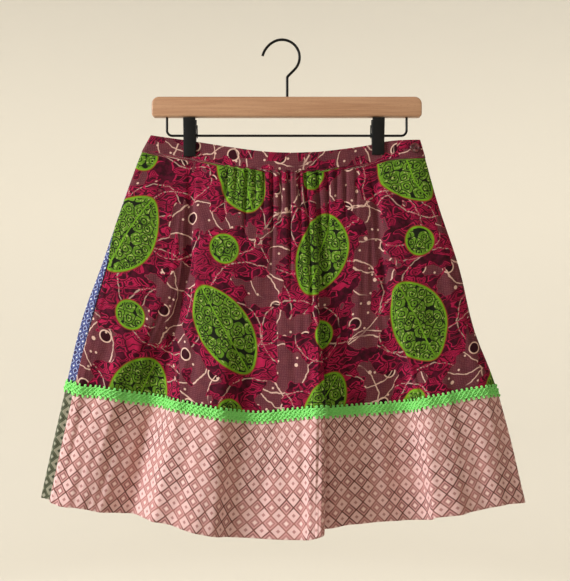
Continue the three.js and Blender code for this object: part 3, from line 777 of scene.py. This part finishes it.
def yarn_finish(name, dark, light):
    """Twisted yarn with a slight sheen. Its colour varies at random, with painted shade in the twist's
    grooves and painted light on its crests.
    """
    yarn = Finish(name, Roughness=0.62, Sheen_Weight=0.15, Specular_IOR_Level=0.35)
    x, y, z = yarn.object_place()
    twist = ((x + y * 0.7 + z * 0.6) * (2 * math.pi / 0.9)).math("SINE")
    # Painted shade and light: the colour follows the twist, darker in its grooves and lighter on its crests,
    # besides varying at random.
    colour = yarn.lay(dark, light, twist * 0.25 + yarn.noise(x + y, z, 2.5) * 0.9)
    return yarn.finish(Base_Color=colour, Normal=yarn.bump(twist, 0.00008))


def wood_finish():
    """Pale beech under satin varnish, with the grain along the bar."""
    wood = Finish("satin_beech", Coat_Weight=0.25, Coat_Roughness=0.3, Specular_IOR_Level=0.4)
    x, y, z = wood.object_place()
    grain = wood.noise(x / 26, z + y * 0.8, 2.4, seed=2, detail=4)
    broad = wood.noise(x / 9, z + y, 16, seed=9)
    fleck = wood.noise(x / 5, z * 1.5 + y, 0.9, seed=4).above(0.63, 0.12)
    colour = wood.lay(srgb(196, 150, 114), srgb(172, 124, 90), grain.above(0.5, 0.5))
    colour = wood.lay(colour, srgb(206, 162, 126), broad.above(0.5, 0.5) * 0.5)
    colour = wood.lay(colour, srgb(158, 110, 78), fleck * 0.4)
    return wood.finish(Base_Color=colour, Roughness=0.42 + grain * 0.15, Normal=wood.bump(grain, 0.00006))


def black_finish(name, grey, roughness, metallic):
    """Black satin, with faint unevenness."""
    black = Finish(name, Metallic=metallic, Specular_IOR_Level=0.28)
    x, y, z = black.object_place()
    cloudy = black.noise(x + y, z, 6, seed=3)
    colour = black.lay(srgb(grey, grey, grey - 1), srgb(grey + 10, grey + 10, grey + 8), cloudy)
    return black.finish(Base_Color=colour, Roughness=roughness + cloudy * 0.12)


def button_finish():
    """Polished dark red-brown plastic with a slow swirl."""
    shell = Finish("button_plastic", Coat_Weight=0.3, Coat_Roughness=0.12)
    x, y, z = shell.object_place()
    swirl = shell.noise(x, z, 3.5, seed=6, detail=3)
    colour = shell.lay(srgb(70, 24, 30), srgb(112, 50, 50), swirl.above(0.5, 0.4))
    return shell.finish(Base_Color=colour, Roughness=0.25 + swirl * 0.1)


def wall_finish():
    """The studio's warm white paper."""
    return Finish("studio_paper", Roughness=0.95, Specular_IOR_Level=0.1, Base_Color=srgb(206, 200, 188))


def place_piece(mesh, material, replaces=()):
    """A finished piece: smooth, riding on the one body, standing for its CAD nodes."""
    piece = bpy.data.objects.new(mesh.name, mesh)
    bpy.context.scene.collection.objects.link(piece)
    mesh.shade_smooth()
    mesh.materials.append(material)
    if replaces:
        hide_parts(*replaces)
    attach(piece, BODY)
    return piece


def grid_places(mesh, across, down):
    """Which column and row each vertex of a fresh square grid stands in, the top row first."""
    co = np.empty(len(mesh.vertices) * 3)
    mesh.vertices.foreach_get("co", co)
    co = co.reshape(-1, 3)
    column = np.rint((co[:, 0] + 1) / 2 * across).astype(int)
    row = np.rint((1 - co[:, 1]) / 2 * down).astype(int)
    return column, row


def cloth_mesh(name, side, rows, cut_shift=(0, 0), turned=False, even=False):
    """A sheet of cloth from seam to seam, with its flat cut as UVs.

    Each row has its distance down, how far inside it lies, and its place on the flat cut. Turned cloth
    is cut lengthwise. Even cloth keeps its grain along the folds.
    """
    columns = SIDES[side]["columns"]
    bm = bmesh.new()
    bmesh.ops.create_grid(bm, x_segments=len(columns) - 1, y_segments=len(rows) - 1, size=1)
    mesh = bpy.data.meshes.new(name)
    bm.to_mesh(mesh)
    bm.free()

    down, inside, run = (np.array(part, float)[:, None] for part in zip(*rows))
    places = row_columns(side, down)
    points = pressed(places, down) - outwards(places, down) * inside[..., None]
    steps = np.linalg.norm(np.diff(points, axis=1), axis=-1)
    reached = np.concatenate([np.zeros((len(rows), 1)), np.cumsum(steps, axis=1)], axis=1)
    centre = np.searchsorted(columns, SIDES[side]["centre"])
    across = reached - reached[:, centre : centre + 1]
    if even:
        across = np.broadcast_to(across[len(rows) // 2], across.shape)

    column, row = grid_places(mesh, len(columns) - 1, len(rows) - 1)
    mesh.vertices.foreach_set("co", (points[row, column] * MM).ravel())
    flat = [across, np.broadcast_to(run, across.shape)]
    cut = (np.stack(flat[::-1] if turned else flat, axis=-1) + cut_shift) * MM
    corners = np.empty(len(mesh.loops), int)
    mesh.loops.foreach_get("vertex_index", corners)
    layer = mesh.uv_layers.new(name="cut")
    layer.data.foreach_set("uv", cut[row[corners], column[corners]].ravel())
    mesh.update()
    return mesh


def thicken(piece, thickness, edge=0.0):
    """Gives a sheet its thickness, evenly to both sides, and rounds its edges if asked."""
    solid = piece.modifiers.new("thickness", "SOLIDIFY")
    solid.thickness = thickness * MM
    solid.offset = 0
    if edge:
        rounded = piece.modifiers.new("rounded edge", "BEVEL")
        rounded.width = edge * MM
        rounded.segments = 2
        rounded.limit_method = "ANGLE"
        rounded.angle_limit = math.radians(60)


def even_rows(start, end, about):
    """Rows at even distances down, none of them inside."""
    return [(d, 0.0, d) for d in np.linspace(start, end, round((end - start) / about) + 1)]


def turned_hem_rows():
    """The border's rows, and the hem turned up inside it."""
    outer = even_rows(TRIM_LINE, HEM, BORDER_ROW)
    bend = [(HEM - 0.4, 0.1, HEM - 0.4), (HEM, HEM_FOLD / 2, HEM), (HEM - 0.2, HEM_FOLD, HEM + 0.8)]
    turned = [(HEM - d, HEM_FOLD, HEM + d) for d in (4, 8, 13, 18, HEM_TURN)]
    return outer[:-1] + bend + turned


def add_tube(bm, points, normals, radius, sides):
    """A round cord along points, in mm, with its ends closed."""
    points = np.asarray(points, float)
    along = unit(np.gradient(points, axis=0))
    aside = unit(np.cross(along, normals))
    above = np.cross(aside, along)
    made = bmesh.ops.create_grid(bm, x_segments=len(points) - 1, y_segments=sides, size=1)["verts"]
    turns = np.linspace(0, -2 * math.pi, sides + 1)
    for vert in made:
        k = round((vert.co.x + 1) / 2 * (len(points) - 1))
        turn = turns[round((vert.co.y + 1) / 2 * sides)]
        place = points[k] + radius * (math.cos(turn) * above[k] + math.sin(turn) * aside[k])
        vert.co = Vector(place * MM)
    bmesh.ops.remove_doubles(bm, verts=made, dist=1e-6)
    ends = [e for e in bm.edges if e.is_boundary]
    bmesh.ops.holes_fill(bm, edges=ends, sides=sides)


def mesh_of(bm, name, outward=True):
    """A mesh from a bmesh, with its faces turned outwards."""
    if outward:
        bmesh.ops.recalc_face_normals(bm, faces=bm.faces)
    mesh = bpy.data.meshes.new(name)
    bm.to_mesh(mesh)
    bm.free()
    return mesh


def add_piece(bm, name, material, replaces=()):
    """A piece made of one bmesh."""
    mesh = mesh_of(bm, name)
    place_piece(mesh, material, replaces)
    return mesh


def add_sheet(side, part, rows, finish, slot, thickness, edge=0.0, **cut):
    """One sheet of cloth, standing for the node that its name starts with."""
    mesh = cloth_mesh(f"{side}_{part}", side, rows, **cut)
    node = part.split("_")[0]
    thicken(place_piece(mesh, finish, [f"{node}_{side}"]), thickness, edge)


def add_cloth(finishes):
    """Waistbands, panels and borders, each its own sheet."""
    band_rows = even_rows(0, BAND_FOOT, BAND_ROW)
    panel_rows = even_rows(BAND_FOOT - 1, TRIM_LINE, PANEL_ROW)
    for side, panel, border in (("front", "print", "border"), ("back", "back_print", "back_border")):
        band_cut = {"cut_shift": (57, 30), "turned": True}
        add_sheet(side, "waistband", band_rows, finishes["print"], "print", BAND, edge=0.6, **band_cut)
        add_sheet(side, "panel", panel_rows, finishes[panel], panel, CLOTH, cut_shift=(89, -30))
        add_sheet(side, "border", turned_hem_rows(), finishes[border], border, CLOTH, even=True)


def line_across(side, down):
    """Fine steps round the ring, and how far along the cloth each lies, in mm, at one distance down."""
    columns = SIDES[side]["columns"]
    fine = np.interp(np.linspace(0, len(columns) - 1, LINE_STEPS), np.arange(len(columns)), columns)
    steps = np.linalg.norm(np.diff(pressed(fine, down), axis=0), axis=-1)
    return fine, np.concatenate([[0], np.cumsum(steps)])


def add_cord(bm, line, along, beside, lift, radius):
    """A cord on the cloth: along the trim line, beside it, and lifted off the cloth, in mm."""
    fine, reached = line
    column = np.interp(along, reached, fine)
    down = TRIM_LINE - beside
    normals = outwards(column, down)
    points = pressed(column, down) + normals * np.asarray(lift)[:, None]
    add_tube(bm, points, normals, radius, 6)


def add_braid(finishes):
    """Bright braid: a woven strip, leaning loops along both edges, and slanted chains down its middle."""
    for side in SIDES:
        line = line_across(side, TRIM_LINE)
        length = line[1][-1]
        teeth = round(length / TOOTH)
        pitch = length / teeth
        bm = bmesh.new()
        t = np.linspace(0, teeth, teeth * 14 + 1)
        turn = 2 * math.pi * t
        for edge in (1, -1):
            along = np.clip(t * pitch + TOOTH_LEAN * np.sin(turn), 0, length)
            beside = edge * (TOOTH_PLACE - TOOTH_REACH * np.cos(turn))
            add_cord(bm, line, along, beside, 1.5 + 0.5 * np.sin(turn), 0.9)
            slant = turn + edge
            beside = edge * CHAIN_PLACE + CHAIN_SWAY * np.sin(slant)
            add_cord(bm, line, t * pitch, beside, 2.0 + 0.5 * np.cos(slant), 0.95)
        run = np.linspace(0, length, teeth * 8 + 1)
        add_cord(bm, line, run, 0.5 * np.sin(run * 1.9), 2.0 + 0.3 * np.cos(run * 1.9), 0.8)
        add_piece(bm, f"{side}_braid_cords", finishes["braid"])

        offsets = np.linspace(-STRIP_HALF_WIDTH, STRIP_HALF_WIDTH, 7)
        rows = [(TRIM_LINE + d, -STRIP_LIFT, d) for d in offsets]
        add_sheet(side, "braid_strip", rows, finishes["braid"], "braid", STRIP)


def add_stitches(name, down, lift, finish):
    """A line of stitches round the skirt: a thread that dips through the cloth and comes out again."""
    bm = bmesh.new()
    for side in SIDES:
        fine, reached = line_across(side, down)
        count = int(reached[-1] / STITCH)
        k = np.arange(count)[:, None]
        along = ((k + np.array([0.08, 0.2, 0.8, 0.92])) * STITCH).ravel()
        height = np.tile([-0.3, 0.12, 0.12, -0.3], count) + lift
        column = np.interp(along, reached, fine)
        normals = outwards(column, down)
        add_tube(bm, pressed(column, down) + normals * height[:, None], normals, 0.24, 5)
    add_piece(bm, name, finish)


def arc(centre_x, centre_z, radius, start, end, count):
    """Points on an arc, with angles in degrees counted from +X towards +Z."""
    turns = np.radians(np.linspace(start, end, count + 1))
    return [(centre_x + radius * math.cos(a), 0, centre_z + radius * math.sin(a)) for a in turns]


def straight(start, end, count):
    """Points between two ends, without the ends."""
    return [tuple(p) for p in np.linspace(start, end, count + 2)[1:-1]]


def add_bar(finishes):
    """The wooden bar: round top corners, tighter ones at the foot, and softened edges."""
    bm = bmesh.new()
    bmesh.ops.create_cube(bm, size=1)
    size = Vector((BAR_LENGTH, BAR_DEPTH, BAR_HEIGHT)) * MM
    middle = Vector((BAR_X, 0, BAR_TOP - BAR_HEIGHT / 2)) * MM
    bmesh.ops.scale(bm, vec=size, verts=bm.verts)
    bmesh.ops.translate(bm, vec=middle, verts=bm.verts)
    for radius, up in ((BAR_TOP_CORNER, 1), (BAR_FOOT_CORNER, -1)):
        corners = [edge for edge in bm.edges if is_corner(edge, middle, size, up)]
        round_edges(bm, corners, radius, 8)
    outline = [e for e in bm.edges if e.calc_face_angle(0) > 1.2]
    round_edges(bm, outline, BAR_EDGE, 4)
    add_piece(bm, "wooden_bar", finishes["wood"], ["hanger_bar"])


def is_corner(edge, middle, size, up):
    """True for a box's corner edge that runs front to back, at its top where up is 1, or its foot."""
    front, back = (vert.co - middle for vert in edge.verts)
    across = abs(abs(front.x) - size.x / 2) < 1e-5
    upright = abs(front.z - up * size.z / 2) < 1e-5
    return across and upright and abs(front.y - back.y) > size.y / 2


def round_edges(bm, edges, radius, segments):
    """Rounds edges to a radius in mm."""
    bmesh.ops.bevel(
        bm,
        geom=edges,
        offset=radius * MM,
        offset_type="OFFSET",
        segments=segments,
        profile=0.5,
        affect="EDGES",
        material=-1,
    )


def add_wire(name, points, radius, finish, node):
    """Bent wire in the plane y = 0."""
    bm = bmesh.new()
    normals = np.tile([0.0, 1.0, 0.0], (len(points), 1))
    add_tube(bm, points, normals, radius, 20)
    mesh = add_piece(bm, name, finish, [node])
    mesh.set_sharp_from_angle(angle=math.radians(60))


def add_hook(finishes):
    """From the tip over the top, down the round right side, aslant to the stem and straight down."""
    centre_z = HOOK_WIRE - HOOK_RADIUS
    flatter = HOOK_RADIUS - HOOK_TIP_RADIUS
    join = math.radians(120)
    tip = arc(flatter * math.cos(join), centre_z + flatter * math.sin(join), HOOK_TIP_RADIUS, 165, 120, 14)
    loop = arc(0, centre_z, HOOK_RADIUS, 116, -45, 48)
    slant_x, _, slant_z = loop[-1]
    bend_x = HOOK_STEM_X + HOOK_BEND
    start_x = bend_x - HOOK_BEND * math.sqrt(0.5)
    start_z = slant_z - (slant_x - start_x)
    bend = arc(bend_x, start_z - HOOK_BEND * math.sqrt(0.5), HOOK_BEND, 135, 180, 6)
    slant = straight(loop[-1], bend[0], 4)
    foot = (HOOK_STEM_X, 0, BAR_TOP - 1)
    stem = straight(bend[-1], foot, 5) + [foot]
    add_wire("hook_wire", tip + loop + slant + bend + stem, HOOK_WIRE, finishes["wire"], "hanger_hook")


def add_rail(finishes):
    """The wire rail that the clips slide on."""
    top = BAR_TOP - BAR_HEIGHT + 1
    left = arc(RAIL_LEFT + RAIL_CORNER, RAIL_Z + RAIL_CORNER, RAIL_CORNER, 180, 270, 10)
    right = arc(RAIL_RIGHT - RAIL_CORNER, RAIL_Z + RAIL_CORNER, RAIL_CORNER, -90, 0, 10)
    start = (RAIL_LEFT, 0, top)
    end = (RAIL_RIGHT, 0, top)
    points = [start, *straight(start, left[0], 3), *left, *straight(left[-1], right[0], 12), *right]
    points += [*straight(right[-1], end, 3), end]
    add_wire("rail_wire", points, RAIL_WIRE, finishes["wire"], "hanger_rail")


def softened_copy(name, node, edge, finish):
    """A CAD node's shape with its edges rounded."""
    bm = bmesh.new()
    bm.from_mesh(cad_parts[node].data)
    bmesh.ops.remove_doubles(bm, verts=bm.verts, dist=1e-5)
    bmesh.ops.dissolve_limit(bm, angle_limit=0.02, verts=bm.verts, edges=bm.edges)
    sharp = [e for e in bm.edges if e.calc_face_angle(0) > 0.4]
    round_edges(bm, sharp, edge, 3)
    mesh = add_piece(bm, name, finish, [node])
    mesh.set_sharp_from_angle(angle=math.radians(40))


def add_spring(name, clip_x, inward, finish, node):
    """A coil round the rail, with an arm rising inside each handle."""
    half = JAW_WIDTH / 2
    start_x = clip_x + inward * (half + SPRING_OUT - SPRING_WIRE)
    end_x = clip_x - inward * (half - SPRING_WIRE)
    t = np.linspace(0, 1, 210)
    spin = math.pi + 2 * math.pi * SPRING_TURNS * t
    x = start_x + (end_x - start_x) * t
    coil = np.stack([x, SPRING_RADIUS * np.cos(spin), RAIL_Z + SPRING_RADIUS * np.sin(spin)], 1)
    rise = np.linspace(SPRING_ARM, 1.5, 8)
    out = SPRING_RADIUS + 1.5 * (rise / SPRING_ARM) ** 2
    front = np.stack([np.full(8, start_x), -out, RAIL_Z + rise], 1)
    back = np.stack([np.full(8, end_x), out, RAIL_Z + rise], 1)[::-1]
    points = np.concatenate([front, coil, back])
    bm = bmesh.new()
    add_tube(bm, points, np.tile([1.0, 0.0, 0.0], (len(points), 1)), SPRING_WIRE, 8)
    add_piece(bm, name, finish, [node])


def add_clips(finishes):
    """Two clips, each with two jaws and a spring."""
    for side, clip_x, inward in (("left", CLIP_LEFT, 1), ("right", CLIP_RIGHT, -1)):
        for jaw in ("front", "back"):
            node = f"clip_{side}_{jaw}_jaw"
            softened_copy(f"{side}_clip_{jaw}_plate", node, 0.45, finishes["plastic"])
        add_spring(f"{side}_clip_coil", clip_x, inward, finishes["wire"], f"clip_{side}_spring")


def add_button(finishes):
    """A round button with a raised rim, four holes drawn as dark discs of painted shade, and the thread that
    holds it.
    """
    low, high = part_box("waist_button")
    centre = (low + high) / 2
    radius = (high.x - low.x) / 2
    thick = high.y - low.y
    profile = [
        (0, 0),
        (radius - 1.0 * MM, 0),
        (radius - 0.2 * MM, 0.5 * MM),
        (radius, 1.3 * MM),
        (radius - 0.2 * MM, thick - 0.4 * MM),
        (radius - 0.9 * MM, thick),
        (radius - 1.7 * MM, thick - 0.3 * MM),
        (radius - 2.4 * MM, thick - 0.95 * MM),
        (0, thick - BUTTON_DISH * MM),
    ]
    bm = bmesh.new()
    spin_profile(bm, [(centre.x + r, high.y - y, centre.z) for r, y in profile], centre, (0, 1, 0), 40, 1e-6)
    add_piece(bm, "button_disc", finishes["button"], ["waist_button"])
    face = Vector((centre.x, high.y - (thick - BUTTON_DISH * MM), centre.z))
    add_button_hole_shade(finishes, face)
    add_button_thread(finishes, face)


def add_button_hole_shade(finishes, face):
    """Painted shade: four dark discs on the middle of the button's face that stand for its holes."""
    bm = bmesh.new()
    for x, z in ((-1, -1), (1, 1), (-1, 1), (1, -1)):
        place = Matrix.Translation(face + Vector((x * BUTTON_HOLE_OUT, -0.05, z * BUTTON_HOLE_OUT)) * MM)
        turned = place @ Matrix.Rotation(math.pi / 2, 4, "X")
        radius = BUTTON_HOLE * MM
        bmesh.ops.create_cone(
            bm, cap_ends=True, segments=14, radius1=radius, radius2=radius, depth=0.3 * MM, matrix=turned
        )
    add_piece(bm, "button_hole_shade", finishes["dark"])


def add_button_thread(finishes, face):
    """Two crossed threads from hole to hole."""
    bm = bmesh.new()
    centre = np.array(face) / MM
    for turn in (1, -1):
        reach = np.array([BUTTON_HOLE_OUT, 0, turn * BUTTON_HOLE_OUT])
        t = np.linspace(0, 1, 9)[:, None]
        points = centre + reach * (2 * t - 1) + np.array([0, -0.8, 0]) * np.sin(math.pi * t)
        add_tube(bm, points, np.tile([0.0, -1.0, 0.0], (9, 1)), 0.35, 8)
    add_piece(bm, "button_thread", finishes["thread"])


def spin_profile(bm, profile, centre, axis, steps, weld):
    """Turns a line of points round an axis, and closes it at the poles and where it meets itself."""
    line = [bm.verts.new(point) for point in profile]
    edges = [bm.edges.new(pair) for pair in zip(line, line[1:])]
    bmesh.ops.spin(
        bm, geom=line + edges, cent=centre, axis=axis, angle=2 * math.pi, steps=steps, use_merge=True
    )
    bmesh.ops.remove_doubles(bm, verts=bm.verts, dist=weld)


def add_stage():
    """A pale paper floor that curves up into a wall all round, far from the object."""
    floor, flat, bend, top = -1.35, 2.3, 1.4, 3.2
    bm = bmesh.new()
    profile = [(0.0, floor), (flat, floor)]
    turns = np.radians(range(6, 91, 6))
    profile += [(flat + bend * math.sin(a), floor + bend * (1 - math.cos(a))) for a in turns]
    profile.append((flat + bend, top))
    spin_profile(bm, [(x, 0, z) for x, z in profile], (0, 0, 0), (0, 0, 1), 96, 1e-5)
    bmesh.ops.recalc_face_normals(bm, faces=bm.faces)
    bmesh.ops.reverse_faces(bm, faces=bm.faces)
    mesh = mesh_of(bm, "paper", outward=False)
    mesh.shade_smooth()
    mesh.materials.append(wall_finish().material)
    paper = bpy.data.objects.new("paper", mesh)
    bpy.context.scene.collection.objects.link(paper)


def add_light(name, place, aim, size, power, colour):
    """A soft square light."""
    light = bpy.data.lights.new(name, "AREA")
    light.shape = "SQUARE"
    light.size = size
    light.energy = power
    light.color = colour
    lamp = bpy.data.objects.new(name, light)
    bpy.context.scene.collection.objects.link(lamp)
    lamp.location = place
    lamp.rotation_euler = (Vector(aim) - Vector(place)).to_track_quat("-Z", "Y").to_euler()
    lamp.visible_camera = False


def add_lights():
    """A key from far left, a weak warm fill from the upper right, and light on the wall behind."""
    skirt = (0, 0, -0.38)
    add_light("key", (-3.05, -1.38, 0.5), skirt, 1.0, 122, (0.94, 0.97, 1))
    add_light("fill", (0.9, -1.6, 1.5), skirt, 1.2, 10, (1, 0.86, 0.72))
    for side in (-1, 1):
        add_light("wall_wash", (side * 1.1, 0.9, 0.2), (side * 0.9, 3.6, 0.1), 1.4, 36, (1, 0.975, 0.92))
    add_light("back", (0.4, 2.2, 0.8), skirt, 1.8, 12, (1, 0.98, 0.96))
    world = bpy.data.worlds.new("studio")
    bpy.context.scene.world = world
    world.use_nodes = True
    sky = world.node_tree.nodes["Background"]
    sky.inputs["Color"].default_value = (1, 0.96, 0.9, 1)
    sky.inputs["Strength"].default_value = 0.15


def add_camera():
    """The photograph's viewpoint, level and square to the skirt."""
    data = bpy.data.cameras.new("camera")
    data.lens = CAMERA_LENS
    data.sensor_width = CAMERA_SENSOR
    camera = bpy.data.objects.new("camera", data)
    bpy.context.scene.collection.objects.link(camera)
    camera.location = CAMERA_PLACE
    camera.rotation_euler = (math.radians(90), 0, 0)
    bpy.context.scene.camera = camera


def main():
    """Builds the stage and every piece."""
    finishes = {
        "print": batik_finish(),
        "border": border_finish(),
        "back_print": blue_finish(),
        "back_border": green_finish(),
        "braid": yarn_finish("green_yarn", srgb(116, 228, 100), srgb(176, 255, 150)),
        "thread": yarn_finish("burgundy_thread", srgb(86, 12, 34), srgb(128, 26, 56)),
        "wood": wood_finish(),
        "wire": black_finish("black_wire", 22, 0.3, 0.5),
        "plastic": black_finish("black_plastic", 5, 0.5, 0.0),
        "button": button_finish(),
        # painted shade: the dark discs that stand for the button's holes
        "dark": black_finish("button_hole_painted_shade", 20, 0.6, 0.0),
    }
    bpy.context.scene.view_settings.view_transform = "Standard"
    add_camera()
    add_stage()
    add_lights()
    add_cloth(finishes)
    add_braid(finishes)
    add_stitches("band_foot_stitches", BAND_FOOT - 2, BAND / 2, finishes["thread"])
    add_stitches("band_top_stitches", 2.2, BAND / 2, finishes["thread"])
    add_bar(finishes)
    add_hook(finishes)
    add_rail(finishes)
    add_clips(finishes)
    add_button(finishes)


main()
